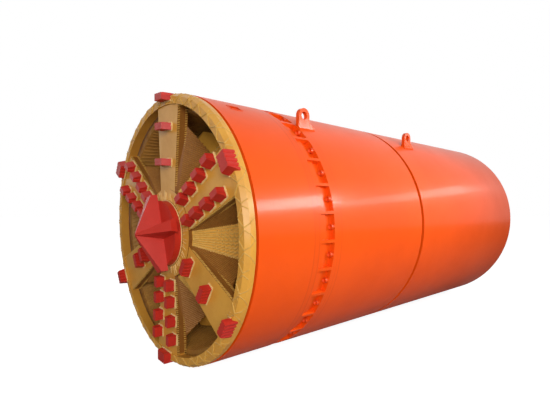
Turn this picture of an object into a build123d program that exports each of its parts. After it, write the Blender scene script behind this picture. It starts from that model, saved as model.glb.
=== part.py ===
"""Pipe jacking machine: a slurry tunnel boring machine for small tunnels.

A spoked cutterhead turns in front of a two-part articulated steel shield. The front section carries
the crusher, the bulkhead and the main drive. The rear section is steered against it by four
hydraulic cylinders and ends in the socket for the first jacking pipe.

The machine points along +X, +Z is up, and it lies on the plane Z = 0. Stations are millimetres
behind the plane of the cutterhead's face. Clock angles are degrees from 12 o'clock towards +Y.
"""
from build123d import *
import os
from math import cos, degrees, radians, sin, sqrt

# Shield, both sections
SHIELD_D = 2440.0
SKIN = 40.0
HEAD_TO_SHIELD_GAP = 22.0
FRONT_CAN_L = 826.0
DRIVE_CAN_L = 1427.0
SEAM_GAP = 52.0
REAR_CAN_L = 2670.0

# Bolted joint between the front can and the drive can
JOINT_REPEATS = 32
FIN_TURN = 2.1
FIN_T = 26.0
JOINT_FLANGE_DEPTH = 90.0
JOINT_FLANGE_L = 160.0
JOINT_LIP = 15.0
GROOVE_FRONT = 105.0
GROOVE_DEPTH = 45.0
RECESS_FRONT = 180.0
RECESS_DEPTH = 20.0

# Slot in the front can's skin on the side that the photograph shows
SLOT_AT = 322.0
SLOT_CLOCK = 30.5
SLOT_L = 110.0
SLOT_W = 78.0
SLOT_DEPTH = 25.0

# Cutterhead
HEAD_TURN = 3.5
RIM_INSET = 4.0
RIM_BEVEL_W = 27.0
RIM_BEVEL_L = 24.0
RIM_W = 88.0
RIM_PROUD = 11.0
RIM_REAR = 72.0
SPOKE_RIM_W = 385.0
SPOKE_HUB_W = 275.0
SPOKE_DEPTH = 98.0
SPOKE_OVERLAP = 1.0
HUB_SHARE = 0.33
HUB_PROUD = 6.0
BOSS_D = 600.0
BOSS_PROUD = 15.0
WINDOW_DEPTH = 223.0
PANEL_HUB_W = 124.0
PANEL_END_W = 318.0
PANEL_HUB_DEPTH = 29.0
PANEL_END_DEPTH = 301.0
PANEL_END_R = 750.0
CONE_REAR = 520.0
RIPPER_SPOKES = (0.0, 120.0, 240.0)
SCRAPER_SPOKES = (60.0, 180.0, 300.0)
SCRAPER_ROWS = (58.5, 180.0, 300.0)
WINDOWS = (30.0, 90.0, 150.0, 210.0, 270.0, 330.0)

# Centre cutter
CUTTER_BASE_D = 590.0
CUTTER_BASE_T = 60.0
CUTTER_NOSE = 297.0
CUTTER_BLADE_D = 690.0
CUTTER_BLADE_END = 55.0
CUTTER_BLADE_ROOT_T = 120.0
CUTTER_BLADE_EDGE_T = 16.0
CUTTER_TIP_W = 30.0
CUTTER_TURN = -18.5

# Teeth: tracks are shares of the shield's radius, each with its distance from the spoke's middle
RIPPER_TRACKS = ((0.0, (0.52, 0.77)), (120.0, (0.40, 0.67)), (240.0, (0.42, 0.545)))
RIPPER_W = 172.0
RIPPER_L = 60.0
RIPPER_H = 85.0
RIPPER_RIDGES = 5
SCRAPER_TRACKS = ((0.38, 98.0), (0.505, 110.0), (0.65, 125.0), (0.79, 142.0))
SCRAPER_W = 90.0
SCRAPER_L = 98.0
SCRAPER_H = 82.0
SCRAPER_RIDGES = 2
GAUGE_W = 175.0
GAUGE_L = 100.0
GAUGE_H = 75.0
GAUGE_RIDGES = 5
TOOTH_GROOVE = 7.0
TOOTH_LEAN = 30.0
EDGE_TOOTH_INSET = 2.0

# Crusher, bulkhead and main drive
CRUSHER_STEP = 43.0
CRUSHER_TAPER = 125.0
CRUSHER_L = 430.0
CRUSH_GAP_FRONT = 42.0
CRUSH_GAP_REAR = 76.0
BULKHEAD_AT = 600.0
BULKHEAD_T = 60.0
SHAFT_D = 360.0
SHAFT_FLANGE_D = 620.0
SHAFT_FLANGE_T = 40.0
SHAFT_END_COVER = 60.0
SHAFT_CLEARANCE = 0.05
HOUSING_SHARE = 0.5
HOUSING_L = 480.0
MOTOR_COUNT = 4
MOTOR_D = 250.0
MOTOR_L = 520.0
MOTOR_INSET = 240.0

# Articulation
ARTIC_RING_INSET = 40.0
ARTIC_RING_T = 40.0
ARTIC_RING_L = 180.0
TRUNNION_D = 70.0
TRUNNION_CLEARANCE = 0.05
TAB_W = 220.0
TAB_T = 22.0
TAB_REACH = 60.0
TAB_GRIP = 220.0
MOVING_GAP = 8.0
YAW_CLOCKS = (0.0, 180.0)
PITCH_CLOCKS = (90.0, 270.0)

# Steering cylinders
CYLINDER_INSET = 220.0
BARREL_D = 150.0
BARREL_L = 520.0
BARREL_FRONT = 300.0
BRACKET_T = 60.0
BRACKET_W = 340.0
ROD_D = 80.0
ROD_CLEARANCE = 0.05
ROD_STROKE_ROOM = 60.0
BALL_D = 96.0
CUP_CLEARANCE = 6.0
CUP_D = 170.0
CUP_L = 200.0
CUP_ARM_T = 50.0
CYLINDERS = (("top", 0.0), ("left", 90.0), ("bottom", 180.0), ("right", 270.0))

# Lifting lugs, in pairs either side of the top
LUG_CLOCK = 38.0
LUG_T = 40.0
LUG_W = 135.0
LUG_HOLE_D = 70.0
LUG_HOLE_UP = 105.0
LUG_SINK = 30.0
LUG_FOOT_L = 62.0
LUG_FOOT_H = 48.0
LUG_TOE_H = 8.0
LUG_AT = (("lifting_lugs_front", 985.0), ("lifting_lugs_rear", 2760.0))

# Slurry lines beside the drive, each with its clock angle
PIPE_D = 219.0
PIPE_WALL = 10.0
PIPE_FLANGE_D = 340.0
PIPE_FLANGE_T = 26.0
PIPE_BOLTS = 8
PIPE_BOLT_CIRCLE_D = 295.0
PIPE_BOLT_HOLE_D = 22.0
PIPE_TO_HOUSING = 21.0
PIPES = (("feed_pipe", 156.3), ("discharge_pipe", 203.7))
SADDLE_W = 160.0
SADDLE_L = 60.0
SADDLES_AT = (2900.0, 4300.0)
FRONT_PIPE_END = 2150.0
REAR_PIPE_START = 2600.0
PIPE_TO_TAIL = 160.0

# Tail and equipment in the rear section, with some sizes as shares of the bore's radius
SOCKET_DEPTH = 260.0
SOCKET_RECESS = 10.0
STOP_RING_L = 120.0
STOP_RING_T = 90.0
PIPE_TO_FLOOR = 50.0
FLOOR_T = 12.0
FLOOR_FRONT = 2700.0
FLOOR_L = 1900.0
EQUIPMENT_W_SHARE = 0.271
EQUIPMENT_OUT_SHARE = 0.56
EQUIPMENT_AT = 3500.0
CABINET_L = 1100.0
CABINET_H_SHARE = 0.6
TANK_L = 1400.0

# Places that follow from the sizes above
SHIELD_R = SHIELD_D / 2
BORE_R = SHIELD_R - SKIN
CAN_FRONT = RIM_REAR + HEAD_TO_SHIELD_GAP
JOINT = CAN_FRONT + FRONT_CAN_L
DRIVE_CAN_END = JOINT + DRIVE_CAN_L
SEAM = DRIVE_CAN_END + SEAM_GAP / 2
REAR_CAN_FRONT = DRIVE_CAN_END + SEAM_GAP
TAIL = REAR_CAN_FRONT + REAR_CAN_L
FACE_X = (TAIL - CUTTER_NOSE) / 2
RIM_R = SHIELD_R - RIM_INSET
RIM_BORE_R = RIM_R - RIM_W
HUB_R = SHIELD_R * HUB_SHARE
WINDOW_R = RIM_BORE_R - WINDOW_DEPTH
CRUSHER_FRONT_R = RIM_BORE_R - CRUSHER_STEP
CRUSHER_REAR_R = CRUSHER_FRONT_R - CRUSHER_TAPER
HOUSING_R = BORE_R * HOUSING_SHARE
PIPE_R = PIPE_D / 2
PIPE_OUT = HOUSING_R + PIPE_TO_HOUSING + PIPE_R
FLOOR_DOWN = PIPE_R + PIPE_TO_FLOOR - PIPE_OUT * cos(radians(PIPES[0][1]))
AXIS_LINE = Axis((0, 0, SHIELD_R), (1, 0, 0))


def at(station):
    """X of a station."""
    return FACE_X - station


def turned(corners, arc=360.0):
    """Solid turned about the machine's axis from (station, radius) corners, back from 12 o'clock."""
    outline = Polyline([(at(s), 0, SHIELD_R + r) for s, r in corners], close=True)
    return revolve(make_face(outline), AXIS_LINE, arc)


def ring(start, end, outer_r, inner_r):
    """Plain ring about the machine's axis."""
    return turned([(start, inner_r), (start, outer_r), (end, outer_r), (end, inner_r)])


def bar(start, end, radius, y=0.0, up=0.0):
    """Round bar along the machine, offset from its axis."""
    middle = Pos(at((start + end) / 2), y, SHIELD_R + up)
    return middle * Rot(0, 90, 0) * Cylinder(radius, end - start)


def block(start, end, width, low, high, y=0.0):
    """Box along the machine between two heights over its axis."""
    centre = Pos(at((start + end) / 2), y, SHIELD_R + (low + high) / 2)
    return centre * Box(end - start, width, high - low)


def face_prism(corners, front, back):
    """Prism between two stations from (y, height over the axis) corners."""
    outline = Polyline([(at(back), y, SHIELD_R + z) for y, z in corners], close=True)
    return extrude(make_face(outline), amount=back - front, dir=(1, 0, 0))


def side_prism(corners, width, y=0.0):
    """Prism across the machine from (station, height over the axis) corners."""
    outline = Polyline([(at(s), y - width / 2, SHIELD_R + z) for s, z in corners], close=True)
    return extrude(make_face(outline), amount=width, dir=(0, 1, 0))


def top_prism(corners, low, high):
    """Upright prism between two heights over the axis from (station, y) corners."""
    outline = Polyline([(at(s), y, SHIELD_R + low) for s, y in corners], close=True)
    return extrude(make_face(outline), amount=high - low, dir=(0, 0, 1))


def clocked(shape, angle):
    """Copy of a shape made at 12 o'clock, turned to a clock angle."""
    return shape.rotate(AXIS_LINE, -angle)


def on_head(shape, angle):
    """Copy of a shape made at 12 o'clock, turned to a place on the cutterhead as it stands."""
    return clocked(shape, angle + HEAD_TURN)


def spoke_half(radius):
    """Half the width of a spoke at a radius."""
    share = (radius - HUB_R) / (RIM_BORE_R - HUB_R)
    return (SPOKE_HUB_W + (SPOKE_RIM_W - SPOKE_HUB_W) * share) / 2


def spoke_corner(radius):
    """(y, height) on the next spoke's edge, with the middle of a window at 12 o'clock."""
    turn = radians(30)
    half = spoke_half(radius)
    return radius * sin(turn) - half * cos(turn), radius * cos(turn) + half * sin(turn)


def tooth(width, length, proud, ridges, radius, y=0.0, foot=0.0):
    """Block on the face at 12 o'clock with ridged inner and outer sides and a leaning front."""
    pitch = width / ridges
    crest = length / 2
    groove = crest - TOOTH_GROOVE
    outer = []
    for i in range(ridges):
        start = i * pitch - width / 2
        outer += [(start, groove), (start + pitch / 4, crest), (start + pitch * 3 / 4, crest)]
    outer.append((width / 2, groove))
    corners = outer + [(across, -up) for across, up in reversed(outer)]
    ridged = face_prism([(y + across, radius + up) for across, up in corners], -proud, foot)
    sides = top_prism([(foot, y - width / 2), (foot, y + width / 2), (-proud, y + width / 2 - TOOTH_LEAN),
                       (-proud, y - width / 2 + TOOTH_LEAN / 3)], radius - length, radius + length)
    return ridged & sides


def edge_radius(width, length):
    """Middle radius of a tooth whose outer corners stop just inside the shield's outline."""
    return sqrt((SHIELD_R - EDGE_TOOTH_INSET) ** 2 - (width / 2) ** 2) - length / 2


def six_sided(front_out, rear_out):
    """Six-sided cone from the face to the crushing cone's rear, with the flats' distances at its ends."""
    ends = []
    for station, flat_out in ((0, front_out), (CONE_REAR, rear_out)):
        corner = flat_out / cos(radians(30))
        ends.append(make_face(Polyline([
            (at(station), corner * sin(radians(60 * i)), SHIELD_R + corner * cos(radians(60 * i)))
            for i in range(6)], close=True)))
    return loft(ends, ruled=True)


def tab(grip_station, toward_front):
    """Tab at 12 o'clock that holds one trunnion, from the can wall to past the seam."""
    sign = 1 if toward_front else -1
    inner = ring_r + MOVING_GAP
    low = ring_r - ARTIC_RING_T
    reach = (SEAM - sign * TAB_REACH, grip_station + sign * TAB_GRIP)
    near = (grip_station, grip_station + sign * TAB_GRIP)
    plate = ring(min(reach), max(reach), inner + TAB_T, inner)
    root = ring(min(near), max(near), BORE_R, inner)
    wedge = block(min(reach + near), max(reach + near), TAB_W, low, SHIELD_R)
    pin = Pos(at(SEAM), 0, SHIELD_R + low) * Cylinder(
        trunnion_r, inner + TAB_T / 2 - low, align=(Align.CENTER, Align.CENTER, Align.MIN))
    return ((plate + root) & wedge) + pin


def save(name, shape):
    export_step(shape, "parts/" + name + ".step")


os.makedirs("parts", exist_ok=True)

# Crushing cone: six flats that widen to the rear, one in each window of the cutterhead
cone_front_r = CRUSHER_FRONT_R - CRUSH_GAP_FRONT
cone_rear_r = CRUSHER_REAR_R - CRUSH_GAP_REAR
cone_room = turned([(0, 0), (0, cone_front_r), (SPOKE_DEPTH, cone_front_r), (CONE_REAR, cone_rear_r),
                    (CONE_REAR, 0)])
flat_slope = (PANEL_END_R - HUB_R) / (PANEL_END_DEPTH - PANEL_HUB_DEPTH)
cone = six_sided(HUB_R - flat_slope * PANEL_HUB_DEPTH, HUB_R + flat_slope * (CONE_REAR - PANEL_HUB_DEPTH))

# Webs behind the spokes: they slope down to both neighbouring flats, and inwards to the rear
web_slope = (WINDOW_R - PANEL_END_R) / (PANEL_END_DEPTH - SPOKE_DEPTH)
webs = six_sided(WINDOW_R + web_slope * SPOKE_DEPTH, WINDOW_R - web_slope * (CONE_REAR - SPOKE_DEPTH))
hub_corner = spoke_corner(BOSS_D / 2)
rim_corner = spoke_corner(RIM_BORE_R)
valley = face_prism([(-hub_corner[0], hub_corner[1]), hub_corner, rim_corner,
                     (-rim_corner[0], rim_corner[1])], -RIM_PROUD, CONE_REAR)
wall_y, wall_up = spoke_corner((WINDOW_R - spoke_half(WINDOW_R) / 2) / cos(radians(30)))
for side in (1, -1):
    hub_edge = Vector(at(PANEL_HUB_DEPTH), side * PANEL_HUB_W / 2, SHIELD_R + HUB_R)
    end_edge = Vector(at(PANEL_END_DEPTH), side * PANEL_END_W / 2, SHIELD_R + PANEL_END_R)
    wall_edge = Vector(at(SPOKE_DEPTH), side * wall_y, SHIELD_R + wall_up)
    out = (end_edge - hub_edge).cross(wall_edge - hub_edge)
    out = out if out.X > 0 else out * -1
    valley = split(valley, Plane(origin=hub_edge, z_dir=out), keep=Keep.TOP)
for angle in WINDOWS:
    webs -= clocked(valley, angle)

# Cutterhead frame: the cone and its webs with the rim, the hub and six spokes
rim = turned([
    (-RIM_PROUD, RIM_BORE_R), (-RIM_PROUD, RIM_R - RIM_BEVEL_W), (RIM_BEVEL_L, RIM_R),
    (RIM_REAR, RIM_R), (RIM_REAR, RIM_BORE_R)])
spoke = face_prism([(-spoke_half(0), 0), (spoke_half(0), 0), (spoke_half(RIM_R), RIM_R),
                    (-spoke_half(RIM_R), RIM_R)], 0, SPOKE_DEPTH)
spoke = spoke & turned([(0, 0), (0, RIM_BORE_R + SPOKE_OVERLAP), (RIM_REAR, RIM_BORE_R + SPOKE_OVERLAP),
                        (SPOKE_DEPTH, cone_front_r), (SPOKE_DEPTH, 0)])
frame = (cone + webs) & cone_room
frame += ring(-HUB_PROUD, CONE_REAR, HUB_R, 0) + ring(-BOSS_PROUD, 0, BOSS_D / 2, 0) + rim
for angle in RIPPER_SPOKES + SCRAPER_SPOKES:
    frame += clocked(spoke, angle)
save("cutterhead_frame", on_head(frame, 0))

# Centre cutter: four-bladed point on a round base
blade_r = CUTTER_BLADE_D / 2
blade_foot = -BOSS_PROUD - CUTTER_BASE_T
base = ring(blade_foot, -BOSS_PROUD, CUTTER_BASE_D / 2, 0)
blade = side_prism([
    (blade_foot, -blade_r), (blade_foot, blade_r), (blade_foot - CUTTER_BLADE_END, blade_r),
    (-CUTTER_NOSE, CUTTER_TIP_W / 2), (-CUTTER_NOSE, -CUTTER_TIP_W / 2),
    (blade_foot - CUTTER_BLADE_END, -blade_r)], CUTTER_BLADE_ROOT_T)
blade = blade & top_prism([
    (blade_foot, -CUTTER_BLADE_ROOT_T / 2), (blade_foot, CUTTER_BLADE_ROOT_T / 2),
    (-CUTTER_NOSE, CUTTER_BLADE_EDGE_T / 2), (-CUTTER_NOSE, -CUTTER_BLADE_EDGE_T / 2)], -blade_r, blade_r)
save("center_cutter", on_head(base + blade + clocked(blade, 90), CUTTER_TURN))

# Ripper teeth: two on each of three spokes and one on the rim at its end
rippers = [on_head(tooth(RIPPER_W, RIPPER_L, RIPPER_H, RIPPER_RIDGES, share * SHIELD_R), angle)
           for angle, tracks in RIPPER_TRACKS for share in tracks]
edge_ripper = tooth(RIPPER_W, RIPPER_L, RIPPER_H, RIPPER_RIDGES, edge_radius(RIPPER_W, RIPPER_L),
                    foot=RIM_BEVEL_L) - rim
rippers += [on_head(edge_ripper, angle) for angle in RIPPER_SPOKES]
save("ripper_teeth", Compound(rippers))

# Scrapers: a row of low teeth along both sides of the other three spokes
scrapers = [on_head(tooth(SCRAPER_W, SCRAPER_L, SCRAPER_H, SCRAPER_RIDGES, share * SHIELD_R, side * offset),
                    angle)
            for angle in SCRAPER_ROWS for share, offset in SCRAPER_TRACKS for side in (-1, 1)]
save("scraper_teeth", Compound(scrapers))

# Gauge cutters: one at the end of each scraper spoke
gauge = tooth(GAUGE_W, GAUGE_L, GAUGE_H, GAUGE_RIDGES, edge_radius(GAUGE_W, GAUGE_L), foot=RIM_BEVEL_L)
gauge = gauge - rim - ring(0, RIM_BEVEL_L, RIM_BORE_R, 0)
save("gauge_cutters", Compound([on_head(gauge, angle) for angle in SCRAPER_ROWS]))

# Main shaft
housing_front = BULKHEAD_AT + BULKHEAD_T
shaft_end = housing_front + HOUSING_L - SHAFT_END_COVER
save("main_shaft", ring(CONE_REAR, CONE_REAR + SHAFT_FLANGE_T, SHAFT_FLANGE_D / 2, 0)
     + ring(CONE_REAR, shaft_end, SHAFT_D / 2, 0))

# Front can: a ring of stepped pockets before the joint, where its bolts stand, with fins between them
flange_r = SHIELD_R - JOINT_FLANGE_DEPTH
front_can = turned([
    (CAN_FRONT, BORE_R), (CAN_FRONT, SHIELD_R), (JOINT, SHIELD_R), (JOINT, flange_r),
    (JOINT - JOINT_FLANGE_L, flange_r), (JOINT - JOINT_FLANGE_L, BORE_R)])
fin_arc = degrees(FIN_T / SHIELD_R)
pitch_arc = 360 / JOINT_REPEATS
pocket = turned([
    (JOINT - RECESS_FRONT, SHIELD_R - RECESS_DEPTH), (JOINT - RECESS_FRONT, SHIELD_D),
    (JOINT - JOINT_LIP, SHIELD_D), (JOINT - JOINT_LIP, SHIELD_R - GROOVE_DEPTH),
    (JOINT - GROOVE_FRONT, SHIELD_R - GROOVE_DEPTH), (JOINT - GROOVE_FRONT, SHIELD_R - RECESS_DEPTH)],
    pitch_arc - fin_arc)
front_can -= [clocked(pocket, FIN_TURN - fin_arc / 2 + i * pitch_arc) for i in range(JOINT_REPEATS)]
slot = block(SLOT_AT - SLOT_L / 2, SLOT_AT + SLOT_L / 2, SLOT_W, SHIELD_R - SLOT_DEPTH, SHIELD_D)
save("front_can", front_can - clocked(slot, SLOT_CLOCK))

# Crusher ring inside the front can
crusher_rear = CAN_FRONT + CRUSHER_L
save("crusher_ring", turned([
    (CAN_FRONT, CRUSHER_FRONT_R), (CAN_FRONT, BORE_R), (crusher_rear, BORE_R),
    (crusher_rear, CRUSHER_REAR_R)]))

# Bulkhead, gearbox housing and drive motors
bulkhead = ring(BULKHEAD_AT, housing_front, BORE_R, SHAFT_D / 2 + MOVING_GAP)
pipe_hole = bar(BULKHEAD_AT, housing_front, PIPE_R, 0, PIPE_OUT)
save("bulkhead", bulkhead - [clocked(pipe_hole, angle) for name, angle in PIPES])

housing_end = housing_front + HOUSING_L
housing = ring(housing_front, housing_end, HOUSING_R, 0)
housing -= ring(housing_front, shaft_end + MOVING_GAP, SHAFT_D / 2 + SHAFT_CLEARANCE, 0)
save("drive_housing", housing)
motor = bar(housing_end, housing_end + MOTOR_L, MOTOR_D / 2, 0, HOUSING_R - MOTOR_INSET)
save("drive_motors", Compound([clocked(motor, (i + 0.5) * 360 / MOTOR_COUNT) for i in range(MOTOR_COUNT)]))

# Drive can
save("drive_can", turned([
    (JOINT, SHIELD_R - JOINT_FLANGE_DEPTH), (JOINT, SHIELD_R), (DRIVE_CAN_END, SHIELD_R),
    (DRIVE_CAN_END, BORE_R), (JOINT + JOINT_FLANGE_L, BORE_R),
    (JOINT + JOINT_FLANGE_L, SHIELD_R - JOINT_FLANGE_DEPTH)]))

# Lifting lugs: an eye plate with a sloping foot behind it
lug_y = SHIELD_R * sin(radians(LUG_CLOCK))
lug_base = SHIELD_R * cos(radians(LUG_CLOCK))
lug_hole = lug_base + LUG_HOLE_UP
shield_body = ring(CAN_FRONT, TAIL, SHIELD_R, 0)
for name, station in LUG_AT:
    lug = block(station - LUG_W / 2, station + LUG_W / 2, LUG_T, lug_base - LUG_SINK, lug_hole, lug_y)
    toe = station + LUG_W / 2 + LUG_FOOT_L
    lug += side_prism([
        (station, lug_base - LUG_SINK), (toe, lug_base - LUG_SINK), (toe, lug_base + LUG_TOE_H),
        (station + LUG_W / 2, lug_base + LUG_FOOT_H), (station, lug_base + LUG_FOOT_H)], LUG_T, lug_y)
    eye = Pos(at(station), lug_y, SHIELD_R + lug_hole) * Rot(90, 0, 0)
    lug += eye * Cylinder(LUG_W / 2, LUG_T)
    lug -= eye * Cylinder(LUG_HOLE_D / 2, LUG_T)
    lug -= shield_body
    save(name, Compound([lug, lug.mirror(Plane.XZ)]))

# Articulation: a ring between two vertical and two level trunnions
ring_r = BORE_R - ARTIC_RING_INSET
trunnion_r = TRUNNION_D / 2
seam_half = ARTIC_RING_L / 2
artic_ring = ring(SEAM - seam_half, SEAM + seam_half, ring_r, ring_r - ARTIC_RING_T)
pin_hole = Pos(at(SEAM), 0, SHIELD_R + ring_r) * Cylinder(trunnion_r + TRUNNION_CLEARANCE, 4 * ARTIC_RING_T)
for angle in YAW_CLOCKS + PITCH_CLOCKS:
    artic_ring -= clocked(pin_hole, angle)
save("articulation_ring", artic_ring)

rear_tab = tab(REAR_CAN_FRONT, True)
front_tab = tab(DRIVE_CAN_END, False)
save("yaw_trunnions", Compound([clocked(rear_tab, angle) for angle in YAW_CLOCKS]))
save("pitch_trunnions", Compound([clocked(front_tab, angle) for angle in PITCH_CLOCKS]))

# Steering cylinders: barrels on the rear section, ball-ended rods, cups on the front section
circle_r = BORE_R - CYLINDER_INSET
rod_r = ROD_D / 2
barrel_start = SEAM + BARREL_FRONT
bracket_start = barrel_start + BARREL_L
barrel = bar(barrel_start, bracket_start, BARREL_D / 2, 0, circle_r)
barrel -= bar(barrel_start, bracket_start - ROD_STROKE_ROOM, rod_r + ROD_CLEARANCE, 0, circle_r)
save("cylinder_barrels", Compound([clocked(barrel, angle) for name, angle in CYLINDERS]))

bracket = block(bracket_start, bracket_start + BRACKET_T, BRACKET_W, circle_r - CUP_D / 2, SHIELD_R)
bracket = bracket & ring(bracket_start, bracket_start + BRACKET_T, BORE_R, 0)
save("cylinder_brackets", Compound([clocked(bracket, angle) for name, angle in CYLINDERS]))

rod = bar(SEAM, bracket_start - 2 * ROD_STROKE_ROOM, rod_r, 0, circle_r)
rod += Pos(at(SEAM), 0, SHIELD_R + circle_r) * Sphere(BALL_D / 2)
for name, angle in CYLINDERS:
    save("steering_rod_" + name, clocked(rod, angle))

cup_front = SEAM - CUP_L
arm_end = cup_front + CUP_ARM_T
cup = bar(cup_front, SEAM, CUP_D / 2, 0, circle_r)
cup -= bar(SEAM - BALL_D, SEAM, BALL_D / 2 + CUP_CLEARANCE, 0, circle_r)
cup += block(cup_front, arm_end, CUP_D, circle_r, SHIELD_R) & ring(cup_front, arm_end, BORE_R, 0)
cups = [clocked(cup, angle) - clocked(front_tab, angle) if angle in PITCH_CLOCKS else clocked(cup, angle)
        for name, angle in CYLINDERS]
save("cylinder_cups", Compound(cups))

# Slurry lines, in a front and a rear length with the articulation between them
for name, angle in PIPES:
    for end_name, start, end, flanges in (
            ("_front", BULKHEAD_AT, FRONT_PIPE_END, (FRONT_PIPE_END - PIPE_FLANGE_T,)),
            ("_rear", REAR_PIPE_START, TAIL - PIPE_TO_TAIL,
             (REAR_PIPE_START, TAIL - PIPE_TO_TAIL - PIPE_FLANGE_T))):
        y = PIPE_OUT * sin(radians(angle))
        up = PIPE_OUT * cos(radians(angle))
        pipe = bar(start, end, PIPE_R, y, up)
        for flange in flanges:
            pipe += bar(flange, flange + PIPE_FLANGE_T, PIPE_FLANGE_D / 2, y, up)
        pipe -= bar(start, end, PIPE_R - PIPE_WALL, y, up)
        for flange in flanges:
            for i in range(PIPE_BOLTS):
                turn = radians((i + 0.5) * 360 / PIPE_BOLTS)
                pipe -= bar(flange, flange + PIPE_FLANGE_T, PIPE_BOLT_HOLE_D / 2,
                            y + PIPE_BOLT_CIRCLE_D / 2 * sin(turn), up + PIPE_BOLT_CIRCLE_D / 2 * cos(turn))
        save(name + end_name, pipe)

# Rear can with the socket for the first pipe, and the ring that the pipe pushes on
socket_front = TAIL - SOCKET_DEPTH
save("rear_can", turned([
    (REAR_CAN_FRONT, BORE_R), (REAR_CAN_FRONT, SHIELD_R), (TAIL, SHIELD_R),
    (TAIL, BORE_R + SOCKET_RECESS), (socket_front, BORE_R + SOCKET_RECESS), (socket_front, BORE_R)]))
save("pipe_stop_ring", ring(socket_front - STOP_RING_L, socket_front, BORE_R, BORE_R - STOP_RING_T))

# Floor and equipment
floor_rear = FLOOR_FRONT + FLOOR_L
floor = block(FLOOR_FRONT, floor_rear, SHIELD_D, -FLOOR_DOWN - FLOOR_T, -FLOOR_DOWN)
save("floor_plate", floor & ring(FLOOR_FRONT, floor_rear, BORE_R, 0))

equipment_w = BORE_R * EQUIPMENT_W_SHARE
equipment_out = BORE_R * EQUIPMENT_OUT_SHARE
cabinet_h = BORE_R * CABINET_H_SHARE
save("electrical_cabinet", block(EQUIPMENT_AT - CABINET_L / 2, EQUIPMENT_AT + CABINET_L / 2, equipment_w,
                                 -FLOOR_DOWN, cabinet_h - FLOOR_DOWN, equipment_out))
tank_h = cabinet_h * CABINET_L / TANK_L
save("hydraulic_unit", block(EQUIPMENT_AT - TANK_L / 2, EQUIPMENT_AT + TANK_L / 2, equipment_w,
                             -FLOOR_DOWN, tank_h - FLOOR_DOWN, -equipment_out))

saddles = []
for name, angle in PIPES:
    y = PIPE_OUT * sin(radians(angle))
    up = PIPE_OUT * cos(radians(angle))
    for station in SADDLES_AT:
        ends = (station - SADDLE_L / 2, station + SADDLE_L / 2)
        saddles.append(block(*ends, SADDLE_W, -FLOOR_DOWN, up, y) - bar(*ends, PIPE_R, y, up))
save("pipe_saddles", Compound(saddles))
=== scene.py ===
"""Pipe jacking tunnel boring machine: finishes, weld beads, small fittings, camera and light.

Metres, +X forward, +Z up. Stations are measured behind the plane of the cutterhead's face. Clock
angles are degrees from 12 o'clock towards +Y, the side that the photograph shows.
"""
import random
from math import asin, cos, degrees, pi, radians, sin

import bmesh
import bpy
from mathutils import Matrix, Vector


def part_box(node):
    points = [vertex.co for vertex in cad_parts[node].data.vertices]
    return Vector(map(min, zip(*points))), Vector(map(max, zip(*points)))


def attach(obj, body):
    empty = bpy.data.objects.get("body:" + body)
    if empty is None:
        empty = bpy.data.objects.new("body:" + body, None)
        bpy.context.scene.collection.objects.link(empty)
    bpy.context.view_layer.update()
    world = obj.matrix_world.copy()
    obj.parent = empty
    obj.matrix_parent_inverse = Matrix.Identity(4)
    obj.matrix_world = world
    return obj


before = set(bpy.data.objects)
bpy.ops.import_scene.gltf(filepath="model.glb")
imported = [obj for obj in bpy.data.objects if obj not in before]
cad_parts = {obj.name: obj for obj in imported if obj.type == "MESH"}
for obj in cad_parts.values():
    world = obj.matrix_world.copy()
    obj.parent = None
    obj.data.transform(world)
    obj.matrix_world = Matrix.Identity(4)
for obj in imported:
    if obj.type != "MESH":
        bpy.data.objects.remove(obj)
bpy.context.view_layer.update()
scene = bpy.context.scene
scene.view_settings.view_transform = "Standard"
random.seed(4)

# Sizes of the machine that the fittings sit on
SHIELD_R = 1.220
FACE_X = 2.386
JOINT = 0.920
JOINT_REPEATS = 32
BOLT_TURN = 7.7
GROOVE_REAR = JOINT - 0.015
RECESS_R = SHIELD_R - 0.020

# Cutterhead: turn of its first spoke from 12 o'clock, then its rim, hub, boss and spokes
HEAD_TURN = 3.5
RIM_BORE_R = 1.128
RIM_FACE_R = 1.189
RIM_R = 1.216
RIM_FRONT = -0.011
RIM_BEVEL_END = 0.024
RIM_REAR = 0.072
HUB_R = 0.4026
HUB_FACE = -0.006
BOSS_R = 0.300
BOSS_FACE = -0.015
SPOKE_DEPTH = 0.098
SPOKE_HUB_HALF = 0.1375
SPOKE_RIM_HALF = 0.1925

# Corners of the crushing cone's flats and webs: distance out, distance across and depth
FLAT_HUB = Vector((HUB_R, 0.062, 0.029))
FLAT_END = Vector((0.750, 0.159, 0.301))
WEB_CORNER = Vector((0.9063, 0.3171, SPOKE_DEPTH))

# Clock angles from the first spoke
WINDOWS = (30, 90, 150, 210, 270, 330)
SPOKES = (0, 60, 120, 180, 240, 300)

# Teeth: rippers are (clock angle, distances out), scrapers (distance out, distance across), and the
# halves of each kind (half width, half length)
RIPPERS = ((0, (0.6344, 0.9394)), (120, (0.488, 0.8174)), (240, (0.5124, 0.6649)))
RIPPER_HALVES = (0.086, 0.030)
RIM_RIPPER_R = 1.185
SCRAPER_ROWS = (58.5, 180, 300)
SCRAPERS = ((0.4636, 0.098), (0.6161, 0.110), (0.793, 0.125), (0.9638, 0.142))
SCRAPER_HALVES = (0.045, 0.049)
GAUGE_R = 1.165
GAUGE_HALVES = (0.0875, 0.050)

# Crusher ring's bore at its two ends: station and radius
CRUSHER_FRONT = (0.094, 1.085)
CRUSHER_REAR = (0.524, 0.960)

# Slot and lifting lugs of the shield, with halves as (half length, half width)
SLOT_AT = 0.322
SLOT_CLOCK = 30.5
SLOT_HALVES = (0.055, 0.039)
LUGS_AT = (0.985, 2.760)
LUG_Y = 0.7511
LUG_HALVES = (0.0675, 0.020)
LUG_FOOT = 0.062

FORWARD = Vector((1, 0, 0))

# Noise of the paint: how rough it is, and what parts of it count as patches and as specks
NOISE_ROUGHNESS = 0.65
PATCH_RANGE = (0.38, 0.66)
SPECK_RANGE = (0.56, 0.72)

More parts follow.
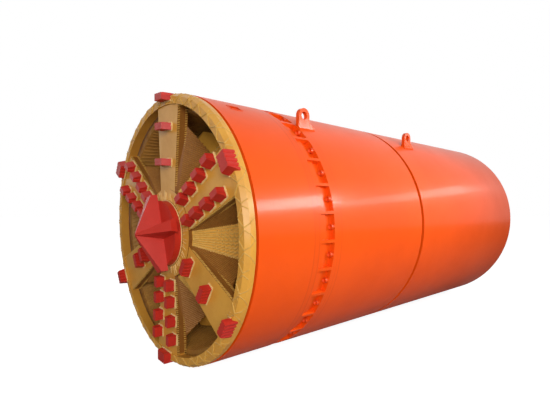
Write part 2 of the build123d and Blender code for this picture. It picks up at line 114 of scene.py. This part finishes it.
# Forward part of a face's normal up to which it is steep and fully in painted shade, and from which it isn't
# and has none
STEEP_BELOW = 0.35
LEVEL_ABOVE = 0.70

# Stations between which the shield's hoops of painted shade lie, and (place between them from the rear,
# strength)
BANDS_START = 0.60
BANDS_END = 1.10
BAND_STOPS = ((0.19, 0), (0.205, 1), (0.22, 0), (0.27, 0), (0.28, 0.7), (0.29, 0), (0.34, 0), (0.345, 0.8),
              (0.35, 0), (0.74, 0), (0.76, 1), (0.78, 0.2), (0.85, 0.2), (0.87, 1), (0.89, 0))


def spot(station, radius, clock):
    """Matrix at a point of the machine: X forward, Y clockwise, Z away from the axis."""
    a = radians(clock)
    return Matrix(((1, 0, 0, FACE_X - station), (0, cos(a), sin(a), radius * sin(a)),
                   (0, -sin(a), cos(a), SHIELD_R + radius * cos(a)), (0, 0, 0, 1)))


def point(station, radius, clock):
    """Point of the machine, in metres behind the face, metres from the axis and clock degrees."""
    return spot(station, radius, clock).translation


def outward(clock):
    """Direction away from the axis at a clock angle."""
    return spot(0, 0, clock).to_3x3() @ Vector((0, 0, 1))


def clockwise(clock):
    """Direction round the axis at a clock angle."""
    return spot(0, 0, clock).to_3x3() @ Vector((0, 1, 0))


# Node groups that several finishes share
def new_group(name, inputs, outputs):
    """Node group with number sockets, and its input and output nodes."""
    group = bpy.data.node_groups.new(name, "ShaderNodeTree")
    for label, value in inputs:
        socket = group.interface.new_socket(label, in_out="INPUT", socket_type="NodeSocketFloat")
        socket.default_value = value
    for label in outputs:
        group.interface.new_socket(label, in_out="OUTPUT", socket_type="NodeSocketFloat")
    return group, group.nodes.new("NodeGroupInput"), group.nodes.new("NodeGroupOutput")


def ranged(nodes, low, high, start=0.0, end=1.0):
    """Map Range node that takes low to high and gives start to end."""
    node = nodes.new("ShaderNodeMapRange")
    for label, value in (("From Min", low), ("From Max", high), ("To Min", start), ("To Max", end)):
        node.inputs[label].default_value = value
    return node


def weather_group():
    """Soft patches and fine specks over a surface, each from 0 to 1, and a bump height."""
    group, source, result = new_group("weather", [("Patch Size", 2.0), ("Speck Size", 60.0)],
                                      ["Patches", "Specks", "Height"])
    nodes, links = group.nodes, group.links
    place = nodes.new("ShaderNodeTexCoord")
    for label, size, detail, low, high in (("Patches", "Patch Size", 5, *PATCH_RANGE),
                                           ("Specks", "Speck Size", 3, *SPECK_RANGE)):
        noise = nodes.new("ShaderNodeTexNoise")
        noise.inputs["Detail"].default_value = detail
        noise.inputs["Roughness"].default_value = NOISE_ROUGHNESS
        cut = ranged(nodes, low, high)
        links.new(place.outputs["Object"], noise.inputs["Vector"])
        links.new(source.outputs[size], noise.inputs["Scale"])
        links.new(noise.outputs["Fac"], cut.inputs["Value"])
        links.new(cut.outputs["Result"], result.inputs[label])
    links.new(noise.outputs["Fac"], result.inputs["Height"])
    return group


def shade_steep_group():
    """Painted shade: 1 on the cutterhead's steep inner faces, such as the webs and the spokes' sides, 0
    elsewhere.
    """
    group, _, result = new_group("steep_face_shade", [], ["Mask"])
    nodes, links = group.nodes, group.links
    place = nodes.new("ShaderNodeTexCoord")
    tilt = nodes.new("ShaderNodeSeparateXYZ")
    steep = ranged(nodes, STEEP_BELOW, LEVEL_ABOVE, 1.0, 0.0)
    centre = nodes.new("ShaderNodeMapping")
    centre.inputs["Location"].default_value = (0, 0, -SHIELD_R)
    centre.inputs["Scale"].default_value = (0, 1, 1)
    reach = nodes.new("ShaderNodeVectorMath")
    reach.operation = "LENGTH"
    inside = ranged(nodes, RIM_BORE_R - 0.02, RIM_BORE_R + 0.01, 1.0, 0.0)
    both = nodes.new("ShaderNodeMath")
    both.operation = "MULTIPLY"
    links.new(place.outputs["Normal"], tilt.inputs["Vector"])
    links.new(tilt.outputs["X"], steep.inputs["Value"])
    links.new(place.outputs["Object"], centre.inputs["Vector"])
    links.new(centre.outputs["Vector"], reach.inputs[0])
    links.new(reach.outputs["Value"], inside.inputs["Value"])
    links.new(steep.outputs["Result"], both.inputs[0])
    links.new(inside.outputs["Result"], both.inputs[1])
    links.new(both.outputs["Value"], result.inputs["Mask"])
    return group


def shade_hoop_group():
    """Faint hoops of painted shade round the shield: a band before the joint, darkest at its edges, and thin
    lines behind it.
    """
    group, _, result = new_group("shield_shade_hoops", [], ["Mask"])
    nodes, links = group.nodes, group.links
    place = nodes.new("ShaderNodeTexCoord")
    split = nodes.new("ShaderNodeSeparateXYZ")
    ramp = nodes.new("ShaderNodeValToRGB")
    span = ranged(nodes, FACE_X - BANDS_END, FACE_X - BANDS_START)
    elements = ramp.color_ramp.elements
    elements[1].position = 1
    elements[1].color = (0, 0, 0, 1)
    elements[0].color = (0, 0, 0, 1)
    for position, level in BAND_STOPS:
        elements.new(position).color = (level, level, level, 1)
    links.new(place.outputs["Object"], split.inputs["Vector"])
    links.new(split.outputs["X"], span.inputs["Value"])
    links.new(span.outputs["Result"], ramp.inputs["Fac"])
    links.new(ramp.outputs["Color"], result.inputs["Mask"])
    return group


weather = weather_group()
steep_face_shade = shade_steep_group()
shield_shade_hoops = shade_hoop_group()


def blend(nodes, links, colour, masks):
    """Lays tones over a colour, each by the share of its mask, and returns the last output."""
    last = None
    for mask, tone, share in masks:
        level = nodes.new("ShaderNodeMath")
        level.operation = "MULTIPLY"
        level.inputs[1].default_value = share
        mix = nodes.new("ShaderNodeMix")
        mix.data_type = "RGBA"
        mix.inputs["A"].default_value = (*colour, 1)
        mix.inputs["B"].default_value = (*tone, 1)
        links.new(mask, level.inputs[0])
        links.new(level.outputs["Value"], mix.inputs["Factor"])
        if last:
            links.new(last, mix.inputs["A"])
        last = mix.outputs["Result"]
    return last


def finish(name, colour, second, roughness, patch_size=2.0, speck_size=60.0, speck_colour=None,
           bump=0.15, bump_depth=0.002, metallic=0.0, specular=0.3, coat=0.0, coat_roughness=0.1,
           rough_spread=0.12, patch_share=0.6, speck_share=0.35, shade=None, shade_colour=None,
           shade_share=1.0):
    """Painted or bare metal: two colours in patches, specks, a fine bump and, if asked, a part with painted
    shade.
    """
    material = bpy.data.materials.new(name)
    material.use_nodes = True
    nodes, links = material.node_tree.nodes, material.node_tree.links
    shader = nodes["Principled BSDF"]
    shader.inputs["Metallic"].default_value = metallic
    shader.inputs["Specular IOR Level"].default_value = specular
    shader.inputs["Coat Weight"].default_value = coat
    shader.inputs["Coat Roughness"].default_value = coat_roughness
    effect = nodes.new("ShaderNodeGroup")
    effect.node_tree = weather
    effect.inputs["Patch Size"].default_value = patch_size
    effect.inputs["Speck Size"].default_value = speck_size
    masks = [(effect.outputs["Patches"], second, patch_share),
             (effect.outputs["Specks"], speck_colour or second, speck_share)]
    if shade:
        shaded = nodes.new("ShaderNodeGroup")
        shaded.node_tree = shade
        masks.insert(1, (shaded.outputs["Mask"], shade_colour, shade_share))
    blended = blend(nodes, links, colour, masks)
    rough = ranged(nodes, 0, 1, roughness, roughness + rough_spread)
    relief = nodes.new("ShaderNodeBump")
    relief.inputs["Strength"].default_value = bump
    relief.inputs["Distance"].default_value = bump_depth
    links.new(blended, shader.inputs["Base Color"])
    links.new(effect.outputs["Patches"], rough.inputs["Value"])
    links.new(rough.outputs["Result"], shader.inputs["Roughness"])
    links.new(effect.outputs["Height"], relief.inputs["Height"])
    links.new(relief.outputs["Normal"], shader.inputs["Normal"])
    return material


# The shield's hoops are painted shade, in a darker orange.
shield_paint = finish("shield_paint", (0.82, 0.086, 0.005), (0.72, 0.070, 0.004), 0.36, patch_size=1.1,
                      speck_size=35, speck_colour=(0.70, 0.06, 0.005), speck_share=0.12, specular=0.08,
                      coat=0.17, coat_roughness=0.14, bump=0.08, rough_spread=0.06, shade=shield_shade_hoops,
                      shade_colour=(0.62, 0.055, 0.006), shade_share=0.6)
joint_paint = finish("joint_paint", (0.78, 0.075, 0.007), (0.60, 0.05, 0.006), 0.42, patch_size=14,
                     speck_size=90, bump=0.1, specular=0.2, coat=0.15, coat_roughness=0.2)
# The head's gold turns dark brown on its steep inner faces: painted shade.
head_gold = finish("head_gold", (0.68, 0.335, 0.046), (0.52, 0.225, 0.026), 0.32, patch_size=3,
                   speck_size=90, bump=0.12, coat=0.15, coat_roughness=0.25, shade=steep_face_shade,
                   shade_colour=(0.17, 0.052, 0.009), shade_share=0.9)
bead_gold = finish("bead_gold", (0.62, 0.36, 0.075), (0.42, 0.20, 0.035), 0.34, patch_size=40,
                   speck_size=220, bump=0.35, bump_depth=0.003, coat=0.2, coat_roughness=0.2)
bead_pale = finish("bead_pale", (0.74, 0.50, 0.20), (0.52, 0.30, 0.08), 0.34, patch_size=30,
                   speck_size=200, bump=0.3, bump_depth=0.003, coat=0.2, coat_roughness=0.2)
# Brown copy of the beads' gold: painted shade for the ribs on the webs.
bead_shade_brown = finish("bead_shade_brown", (0.34, 0.145, 0.026), (0.22, 0.082, 0.014), 0.45, patch_size=30,
                    speck_size=200, bump=0.35, bump_depth=0.003)
cutter_red = finish("cutter_red", (0.52, 0.026, 0.015), (0.40, 0.018, 0.011), 0.36, patch_size=9,
                    speck_size=130, bump=0.2, specular=0.2, coat=0.15, coat_roughness=0.18)
centre_red = finish("centre_red", (0.53, 0.026, 0.013), (0.44, 0.020, 0.010), 0.38, patch_size=6,
                    speck_size=120, bump=0.15, specular=0.2, coat=0.15, coat_roughness=0.2)
# The crusher ring's rough gold, darker than the head's as painted shade of its inside.
crusher_shade_gold = finish("crusher_shade_gold", (0.36, 0.17, 0.030), (0.22, 0.085, 0.016), 0.5, patch_size=8,
                      speck_size=80, bump=0.5, bump_depth=0.004)
bright_steel = finish("bright_steel", (0.55, 0.55, 0.54), (0.42, 0.42, 0.41), 0.24, patch_size=14,
                      speck_size=240, metallic=1.0, bump=0.08)
grey_paint = finish("grey_paint", (0.16, 0.17, 0.18), (0.12, 0.125, 0.13), 0.42, patch_size=4,
                    speck_size=90, coat=0.2)
pipe_paint = finish("pipe_paint", (0.10, 0.20, 0.33), (0.075, 0.15, 0.26), 0.4, patch_size=4,
                    speck_size=90, coat=0.2)
cabinet_paint = finish("cabinet_paint", (0.60, 0.61, 0.60), (0.52, 0.53, 0.52), 0.4, patch_size=3,
                       speck_size=160, bump=0.2, bump_depth=0.001)
floor_steel = finish("floor_steel", (0.24, 0.24, 0.235), (0.17, 0.165, 0.155), 0.45, patch_size=5,
                     speck_size=70, metallic=0.6, bump=0.5, bump_depth=0.004)

for material, names in (
        (shield_paint, ("front_can", "drive_can", "rear_can", "lifting_lugs_front", "lifting_lugs_rear",
                        "pipe_stop_ring")),
        (head_gold, ("cutterhead_frame",)),
        (crusher_shade_gold, ("crusher_ring",)),
        (centre_red, ("center_cutter",)),
        (cutter_red, ("ripper_teeth", "scraper_teeth", "gauge_cutters")),
        (bright_steel, ("main_shaft", "steering_rod_top", "steering_rod_bottom", "steering_rod_left",
                        "steering_rod_right")),
        (grey_paint, ("bulkhead", "drive_housing", "drive_motors", "yaw_trunnions", "pitch_trunnions",
                      "cylinder_barrels", "cylinder_brackets", "cylinder_cups", "pipe_saddles")),
        (pipe_paint, ("feed_pipe_front", "feed_pipe_rear", "discharge_pipe_front",
                      "discharge_pipe_rear")),
        (floor_steel, ("floor_plate", "articulation_ring")),
        (cabinet_paint, ("electrical_cabinet", "hydraulic_unit"))):
    for node in names:
        for material_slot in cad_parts[node].material_slots:
            material_slot.material = material


def add_piece(name, bm, material, body, smooth=40):
    """Makes a mesh piece from a bmesh, rides it on a body and gives it a finish."""
    mesh = bpy.data.meshes.new(name)
    bm.to_mesh(mesh)
    bm.free()
    obj = bpy.data.objects.new(name, mesh)
    scene.collection.objects.link(obj)
    mesh.materials.append(material)
    mesh.shade_smooth()
    mesh.set_sharp_from_angle(angle=radians(smooth))
    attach(obj, body)


def bead(bm, start, end, facing, width, height):
    """Weld bead between two points on a surface that faces a direction, half sunk into it."""
    run = end - start
    along = run.normalized()
    across = facing.cross(along).normalized()
    up = along.cross(across)
    turn = Matrix((across, up, along)).transposed().to_4x4()
    size = Matrix.Diagonal((width / 2, height, run.length, 1))
    bmesh.ops.create_cone(bm, cap_ends=True, segments=6, radius1=1, radius2=0.85, depth=1,
                          matrix=Matrix.Translation((start + end) / 2) @ turn @ size)


def disc(bm, place, radius, start, end, sides=24):
    """Round bar along the X of a matrix, between two distances from it."""
    middle = place @ Matrix.Translation(((start + end) / 2, 0, 0)) @ Matrix.Rotation(pi / 2, 4, "Y")
    return bmesh.ops.create_cone(bm, cap_ends=True, segments=sides, radius1=radius, radius2=radius,
                                 depth=end - start, matrix=middle)


def panel(bm, low, high):
    """Box between two corners."""
    size = Matrix.Diagonal((*(high - low), 1))
    bmesh.ops.create_cube(bm, size=1, matrix=Matrix.Translation((low + high) / 2) @ size)


def soften(bm, width):
    """Rounds all the edges of a piece."""
    bmesh.ops.bevel(bm, geom=bm.edges[:], offset=width, offset_type="OFFSET", segments=2, profile=0.5,
                    affect="EDGES", material=-1)


def head_point(clock, out, across, depth):
    """Point of the cutterhead: out along a clock angle, across from it and behind the face."""
    a = radians(clock + HEAD_TURN)
    return Vector((FACE_X - depth, out * sin(a) + across * cos(a),
                   SHIELD_R + out * cos(a) - across * sin(a)))


def on_flat(window, share, across):
    """Point on a flat of the crushing cone, from its hub end to its outer end, across it from -1 to 1."""
    place = FLAT_HUB.lerp(FLAT_END, share)
    return head_point(window, place.x, across * place.y, place.z)


def on_wall(spoke, side, radius, depth):
    """Point on a side wall of a spoke."""
    share = (radius - HUB_R) / (RIM_BORE_R - HUB_R)
    half = SPOKE_HUB_HALF + (SPOKE_RIM_HALF - SPOKE_HUB_HALF) * share
    return head_point(spoke, radius, side * half, depth)


def plate_normal(corner, second, third):
    """Normal of the plate through three points, on the side that faces forward."""
    normal = (second - corner).cross(third - corner).normalized()
    return normal if normal.x > 0 else -normal


# Rim: zigzag weld beads on its front face, its bevel and its outer band, and loose short ones.
# Beads are (width, height).
RIM_BEADS = 46
RIM_LOOSE_BEADS = 110
FACE_BEAD = (0.013, 0.007)
BEVEL_BEAD = (0.010, 0.005)
BAND_BEAD = (0.008, 0.0035)
LOOSE_BEAD = (0.007, 0.004)
rim_beads = bmesh.new()
pitch = 360 / RIM_BEADS
for i in range(RIM_BEADS):
    middle = HEAD_TURN + (i + 0.5) * pitch + random.uniform(-0.5, 0.5)
    facing = (FORWARD + outward(middle)).normalized()
    for side in (-1, 1):
        foot = HEAD_TURN + (i + 0.5 + side * 0.5) * pitch
        start = point(RIM_FRONT, RIM_BORE_R + 0.003, foot - side * 0.4)
        edge = point(RIM_FRONT, RIM_FACE_R, middle + side * 0.05 * pitch)
        knee = point(RIM_BEVEL_END, RIM_R, middle + side * 0.22 * pitch)
        bead(rim_beads, start, edge, FORWARD, *FACE_BEAD)
        bead(rim_beads, edge, knee, facing, *BEVEL_BEAD)
        if i % 3:
            bead(rim_beads, knee, point(RIM_REAR - 0.004, RIM_R, foot), outward(foot), *BAND_BEAD)
for i in range(RIM_LOOSE_BEADS):
    clock = random.uniform(0, 360)
    radius = random.uniform(RIM_BORE_R + 0.008, RIM_FACE_R - 0.014)
    end = point(RIM_FRONT, radius + random.uniform(-0.022, 0.022), clock + random.uniform(0.5, 1.6))
    bead(rim_beads, point(RIM_FRONT, radius, clock), end, FORWARD, *LOOSE_BEAD)
add_piece("rim_weld_beads", rim_beads, bead_gold, "cutterhead")

# Crushing cone: hard-facing beads along its flats, slanting ones between them, a chain along their
# edges, and ribs down the webs. Lengths are shares of a flat, where 1 is its outer end. Beyond it each
# rib starts further in from the fold, by the web cut.
FLAT_ROWS = 9
FLAT_STEPS = 7
FLAT_REACH = 1.34
FLAT_BEAD = (0.015, 0.007)
SLANTS = 10
SLANTS_FROM = 0.48
SLANT_STEP = 0.085
SLANT_BEAD = (0.010, 0.009)
WEB_RIBS = 31
WEB_RIB_STEP = 0.04
WEB_FOLD_SHARE = 0.76
WEB_CUT = 3.5
WEB_RIB = (0.013, 0.006)
EDGE_BEADS = 21
EDGE_REACH = 1.05
EDGE_BEAD = (0.016, 0.008)
flat_beads = bmesh.new()
web_ribs = bmesh.new()
edge_beads = bmesh.new()
for window in WINDOWS:
    facing = plate_normal(on_flat(window, 0, 0), on_flat(window, 1, 0), on_flat(window, 0, 1))
    for i in range(FLAT_ROWS):
        across = (2 * i + 1) / FLAT_ROWS - 1
        bends = [on_flat(window, 0.01 + FLAT_REACH * k / FLAT_STEPS, across + random.uniform(-0.035, 0.035))
                 for k in range(FLAT_STEPS + 1)]
        for start, end in zip(bends, bends[1:]):
            bead(flat_beads, start, end, facing, *FLAT_BEAD)
        lean = 0.06 if across < 0 else -0.06
        for k in range(SLANTS):
            share = SLANTS_FROM + SLANT_STEP * k
            bead(flat_beads, on_flat(window, share, across - 0.1),
                 on_flat(window, share + lean, across + 0.1), facing, *SLANT_BEAD)
    for side in (1, -1):
        fold = head_point(window, WEB_CORNER.x, side * WEB_CORNER.y, WEB_CORNER.z)
        facing = plate_normal(on_flat(window, 0, side), on_flat(window, 1, side), fold)
        for i in range(1, WEB_RIBS + 1):
            share = i * WEB_RIB_STEP
            outer = FLAT_HUB.lerp(WEB_CORNER, WEB_FOLD_SHARE * share)
            start = on_flat(window, share, side)
            end = head_point(window, outer.x, side * outer.y, outer.z)
            bead(web_ribs, start.lerp(end, max(0, WEB_CUT * (share - 1))), end, facing, *WEB_RIB)
        for i in range(EDGE_BEADS):
            start, end = (on_flat(window, 0.01 + EDGE_REACH * (i + k) / EDGE_BEADS,
                                  side * (1 + random.uniform(-0.04, 0.04))) for k in (0, 0.75))
            bead(edge_beads, start, end, FORWARD, *EDGE_BEAD)
add_piece("flat_beads", flat_beads, bead_gold, "cutterhead")
# The webs' ribs take the brown of painted shade.
add_piece("web_ribs", web_ribs, bead_shade_brown, "cutterhead")

# Spoke sides: a chain of short beads behind the edge of the face, and another before the rear edge.
# Chains are (lean outward, front depth, rear depth, width, height) of a bead.
CHAIN_BEADS = 38
CHAIN_FROM = 0.43
CHAIN_LENGTH = 0.68
CHAINS = ((0.008, 0.002, 0.022, 0.010, 0.006), (0.006, 0.072, 0.092, 0.009, 0.005))
for spoke in SPOKES:
    for side in (1, -1):
        facing = side * clockwise(spoke + HEAD_TURN)
        for i in range(CHAIN_BEADS):
            radius = CHAIN_FROM + CHAIN_LENGTH * i / (CHAIN_BEADS - 1) + random.uniform(-0.003, 0.003)
            for lean, front, rear, width, height in CHAINS:
                bead(edge_beads, on_wall(spoke, side, radius, front),
                     on_wall(spoke, side, radius + lean, rear), facing, width, height)
add_piece("edge_beads", edge_beads, bead_gold, "cutterhead")

# Hub: streaks of weld round the boss, and a hoop of weld round the centre cutter's base
HUB_STREAKS = 72
STREAK_BEAD = (0.008, 0.005)
HOOP_BEADS = 60
HOOP_R = 0.2975
HOOP_BEAD = (0.008, 0.006)
hub_beads = bmesh.new()
for i in range(HUB_STREAKS):
    clock = i * 360 / HUB_STREAKS + random.uniform(-1.6, 1.6)
    reach = random.uniform(0.335, HUB_R - 0.003)
    bead(hub_beads, point(HUB_FACE, BOSS_R + 0.006, clock),
         point(HUB_FACE, reach, clock + random.uniform(-2, 2)), FORWARD, *STREAK_BEAD)
for i in range(HOOP_BEADS):
    clock = i * 360 / HOOP_BEADS
    bead(hub_beads, point(BOSS_FACE, HOOP_R, clock), point(BOSS_FACE, HOOP_R, clock + 6.2), FORWARD,
         *HOOP_BEAD)
add_piece("hub_weld_beads", hub_beads, bead_pale, "cutterhead")

# Teeth: fillets of weld round every foot, and along the inner side of those on the rim
FOOT_LUMPS = 4
FOOT_BEAD = (0.022, 0.010)
tooth_welds = bmesh.new()


def foot_weld(clock, radius, across, halves, station, inner_only=False):
    """Lumpy beads round the foot of a tooth, or along its inner side alone."""
    wide, long = halves
    corners = [head_point(clock, out, to_side, station)
               for out, to_side in ((radius - long, across - wide), (radius - long, across + wide),
                                    (radius + long, across + wide), (radius + long, across - wide))]
    runs = list(zip(corners, corners[1:] + corners[:1]))
    for start, end in runs[:1] if inner_only else runs:
        for k in range(FOOT_LUMPS):
            size = random.uniform(0.7, 1.25)
            bead(tooth_welds, start.lerp(end, k / FOOT_LUMPS), start.lerp(end, (k + 1) / FOOT_LUMPS),
                 FORWARD, FOOT_BEAD[0] * size, FOOT_BEAD[1] * size)


for clock, tracks in RIPPERS:
    for radius in tracks:
        foot_weld(clock, radius, 0, RIPPER_HALVES, 0)
    foot_weld(clock, RIM_RIPPER_R, 0, RIPPER_HALVES, RIM_FRONT, inner_only=True)
for clock in SCRAPER_ROWS:
    for radius, across in SCRAPERS:
        for side in (1, -1):
            foot_weld(clock, radius, side * across, SCRAPER_HALVES, 0)
    foot_weld(clock, GAUGE_R, 0, GAUGE_HALVES, RIM_FRONT, inner_only=True)
add_piece("tooth_welds", tooth_welds, bead_pale, "cutterhead")

# Crusher ring: slanting hard-facing ribs down its conical bore
CRUSHER_RIBS = 150
CRUSHER_STEPS = 3
CRUSHER_SLANT = 3 * 360 / CRUSHER_RIBS
CRUSHER_RIB = (0.020, 0.007)
crusher_ribs = bmesh.new()
for i in range(CRUSHER_RIBS):
    clock = i * 360 / CRUSHER_RIBS
    bends = []
    for k in range(CRUSHER_STEPS + 1):
        share = 0.02 + 0.96 * k / CRUSHER_STEPS
        station, radius = (front + (rear - front) * share
                           for front, rear in zip(CRUSHER_FRONT, CRUSHER_REAR))
        bends.append(point(station, radius, clock + CRUSHER_SLANT * share))
    for start, end in zip(bends, bends[1:]):
        bead(crusher_ribs, start, end, -outward(clock), *CRUSHER_RIB)
# The ribs take the crusher ring's darker gold of painted shade.
add_piece("crusher_ribs", crusher_ribs, crusher_shade_gold, "front_shield")

# Joint: socket-head bolts in the pockets on washers, and a small plug ahead of each
BOLT_CENTRE_R = SHIELD_R - 0.025
WASHER_R = 0.0248
WASHER_TOP = 0.005
BOLT_R = 0.0225
BOLT_TOP = 0.035
SOCKET_WALL = 0.009
SOCKET_DEPTH = 0.016
PLUG_AT = 0.745
PLUG_R = 0.010
bolts = bmesh.new()
plugs = bmesh.new()
for i in range(JOINT_REPEATS):
    clock = BOLT_TURN + i * 360 / JOINT_REPEATS
    seat = spot(GROOVE_REAR, BOLT_CENTRE_R, clock)
    disc(bolts, seat, WASHER_R, 0, WASHER_TOP)
    bolt = disc(bolts, seat, BOLT_R, WASHER_TOP, BOLT_TOP)
    front = max((face for vert in bolt["verts"] for face in vert.link_faces),
                key=lambda face: face.calc_center_median().x)
    bmesh.ops.inset_region(bolts, faces=[front], thickness=SOCKET_WALL)
    bmesh.ops.translate(bolts, verts=front.verts, vec=(-SOCKET_DEPTH, 0, 0))
    seat = spot(PLUG_AT, RECESS_R, clock) @ Matrix.Rotation(-pi / 2, 4, "Y")
    disc(plugs, seat, PLUG_R, -0.002, 0.005, sides=12)
add_piece("joint_bolts", bolts, joint_paint, "front_shield", smooth=30)
add_piece("joint_plugs", plugs, joint_paint, "front_shield", smooth=30)

# Shield: a lip round the slot and fillets along the lifting lugs
LIP_BEAD = (0.016, 0.005)
LUG_LUMPS = 8
LUG_BEAD = (0.020, 0.009)
lip = bmesh.new()
wide = degrees(SLOT_HALVES[1] / SHIELD_R)
corners = [point(SLOT_AT + along * SLOT_HALVES[0], SHIELD_R, SLOT_CLOCK + side * wide)
           for along, side in ((-1, -1), (-1, 1), (1, 1), (1, -1))]
for start, end in zip(corners, corners[1:] + corners[:1]):
    bead(lip, start, end, outward(SLOT_CLOCK), *LIP_BEAD)
add_piece("slot_lip", lip, joint_paint, "front_shield")
for name, station, body in (("front", LUGS_AT[0], "front_shield"), ("rear", LUGS_AT[1], "rear_shield")):
    welds = bmesh.new()
    first = station - LUG_HALVES[0]
    length = 2 * LUG_HALVES[0] + LUG_FOOT
    for hand in (1, -1):
        for side in (1, -1):
            clock = hand * degrees(asin((LUG_Y + side * (LUG_HALVES[1] + 0.001)) / SHIELD_R))
            for k in range(LUG_LUMPS):
                start, end = (point(first + length * step / LUG_LUMPS, SHIELD_R + 0.001, clock)
                              for step in (k, k + 1))
                bead(welds, start, end, outward(clock), LUG_BEAD[0] * random.uniform(0.85, 1.1), LUG_BEAD[1])
    add_piece("lug_welds_" + name, welds, shield_paint, body)

# Rear section: doors and handles on the cabinet, and a lid, a filler cap, a motor on its flange and a
# filter on the hydraulic unit
DOORS = 3
DOOR_GAP = 0.008
DOOR_T = 0.014
HANDLE_W = 0.018
HANDLE_T = 0.022
HANDLE_FROM_EDGE = 0.05
HANDLE_HEIGHTS = (0.36, 0.50)
LID_INSET = 0.02
LID_T = 0.014
cabinet_low, cabinet_high = (Vector(corner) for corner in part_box("electrical_cabinet"))
tank_low, tank_high = (Vector(corner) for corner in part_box("hydraulic_unit"))
doors = bmesh.new()
handles = bmesh.new()
for i in range(DOORS):
    length = (cabinet_high.x - cabinet_low.x) / DOORS
    start = cabinet_low.x + i * length
    front = cabinet_low.y - DOOR_T
    grip = start + length - HANDLE_FROM_EDGE
    panel(doors, Vector((start + DOOR_GAP, front, cabinet_low.z + 0.06)),
          Vector((start + length - DOOR_GAP, cabinet_low.y, cabinet_high.z - 0.03)))
    panel(handles, Vector((grip, front - HANDLE_T, cabinet_low.z + HANDLE_HEIGHTS[0])),
          Vector((grip + HANDLE_W, front, cabinet_low.z + HANDLE_HEIGHTS[1])))
soften(doors, 0.005)
soften(handles, 0.005)
add_piece("cabinet_doors", doors, cabinet_paint, "rear_shield", smooth=30)
add_piece("cabinet_handles", handles, grey_paint, "rear_shield", smooth=30)
fittings = bmesh.new()
panel(fittings, Vector((tank_low.x + LID_INSET, tank_low.y + LID_INSET, tank_high.z)),
      Vector((tank_high.x - LID_INSET, tank_high.y - LID_INSET, tank_high.z + LID_T)))
soften(fittings, 0.004)
upright = Matrix.Rotation(-pi / 2, 4, "Y")
for x, radius, height in ((tank_low.x + 0.2, 0.05, 0.07), (tank_low.x + 0.5, 0.09, 0.22),
                          (tank_low.x + 0.5, 0.065, 0.38), (tank_high.x - 0.3, 0.06, 0.12)):
    foot = Matrix.Translation((x, (tank_low.y + tank_high.y) / 2, tank_high.z + 0.012)) @ upright
    disc(fittings, foot, radius, 0, height, sides=28)
add_piece("tank_fittings", fittings, grey_paint, "rear_shield", smooth=30)

# Floor, lights, world and camera. The floor glows for the camera's rays alone, and the world casts less
# light than it shows, so both look white and the shadow stays.
FLOOR_GLOW = 0.92
WORLD_LIGHT = 0.26
CAMERA_AT = (FACE_X + 1.5964, 3.3467, 1.4583)
CAMERA_LOOK = Vector((-0.66836, -0.73746, -0.09716))
floor_mesh = bmesh.new()
bmesh.ops.create_grid(floor_mesh, x_segments=1, y_segments=1, size=60)
floor_data = bpy.data.meshes.new("floor")
floor_mesh.to_mesh(floor_data)
floor_mesh.free()
floor = bpy.data.objects.new("floor", floor_data)
scene.collection.objects.link(floor)
floor_paint = bpy.data.materials.new("floor_paint")
floor_paint.use_nodes = True
nodes, links = floor_paint.node_tree.nodes, floor_paint.node_tree.links
floor_shader = nodes["Principled BSDF"]
floor_shader.inputs["Base Color"].default_value = (0.34, 0.34, 0.34, 1)
floor_shader.inputs["Roughness"].default_value = 0.95
floor_shader.inputs["Specular IOR Level"].default_value = 0
floor_shader.inputs["Emission Color"].default_value = (1, 1, 1, 1)
seen = nodes.new("ShaderNodeLightPath")
glow = ranged(nodes, 0, 1, 0, FLOOR_GLOW)
links.new(seen.outputs["Is Camera Ray"], glow.inputs["Value"])
links.new(glow.outputs["Result"], floor_shader.inputs["Emission Strength"])
floor_data.materials.append(floor_paint)


def soft_light(name, place, aim, width, height, power):
    """Rectangular lamp that looks at a point."""
    data = bpy.data.lights.new(name, "AREA")
    data.shape = "RECTANGLE"
    data.size = width
    data.size_y = height
    data.energy = power
    obj = bpy.data.objects.new(name, data)
    obj.location = place
    obj.rotation_euler = (Vector(aim) - Vector(place)).to_track_quat("-Z", "Y").to_euler()
    scene.collection.objects.link(obj)


soft_light("key", (6.6, 7.2, 3.2), (1.0, 0, 1.2), 5, 3.5, 570)
soft_light("side_strip", (-4.0, 4.9, 3.36), (0.6, 1.2, 1.5), 6.5, 0.5, 70)
soft_light("far_side", (-1.0, -8.0, 4.0), (0, 0, 1.2), 6, 3, 260)
soft_light("front_strip", (-0.7, 3.8, 2.75), (2.0, 1.2, 1.5), 1.7, 0.5, 85)

world = bpy.data.worlds.new("world")
scene.world = world
world.use_nodes = True
nodes, links = world.node_tree.nodes, world.node_tree.links
background = nodes["Background"]
path = nodes.new("ShaderNodeLightPath")
camera_or_glossy = nodes.new("ShaderNodeMath")
camera_or_glossy.operation = "MAXIMUM"
any_of_three = nodes.new("ShaderNodeMath")
any_of_three.operation = "MAXIMUM"
level = ranged(nodes, 0, 1, WORLD_LIGHT, 1.0)
links.new(path.outputs["Is Camera Ray"], camera_or_glossy.inputs[0])
links.new(path.outputs["Is Glossy Ray"], camera_or_glossy.inputs[1])
links.new(camera_or_glossy.outputs["Value"], any_of_three.inputs[0])
links.new(path.outputs["Is Transmission Ray"], any_of_three.inputs[1])
links.new(any_of_three.outputs["Value"], level.inputs["Value"])
links.new(level.outputs["Result"], background.inputs["Strength"])
background.inputs["Color"].default_value = (1, 1, 1, 1)

cam_data = bpy.data.cameras.new("camera")
cam_data.sensor_fit = "HORIZONTAL"
cam_data.sensor_width = 36
cam_data.lens = 25.49
cam_data.shift_x = -0.0168
cam_data.shift_y = 0.0711
cam = bpy.data.objects.new("camera", cam_data)
cam.location = CAMERA_AT
cam.rotation_euler = CAMERA_LOOK.to_track_quat("-Z", "Y").to_euler()
scene.collection.objects.link(cam)
scene.camera = cam
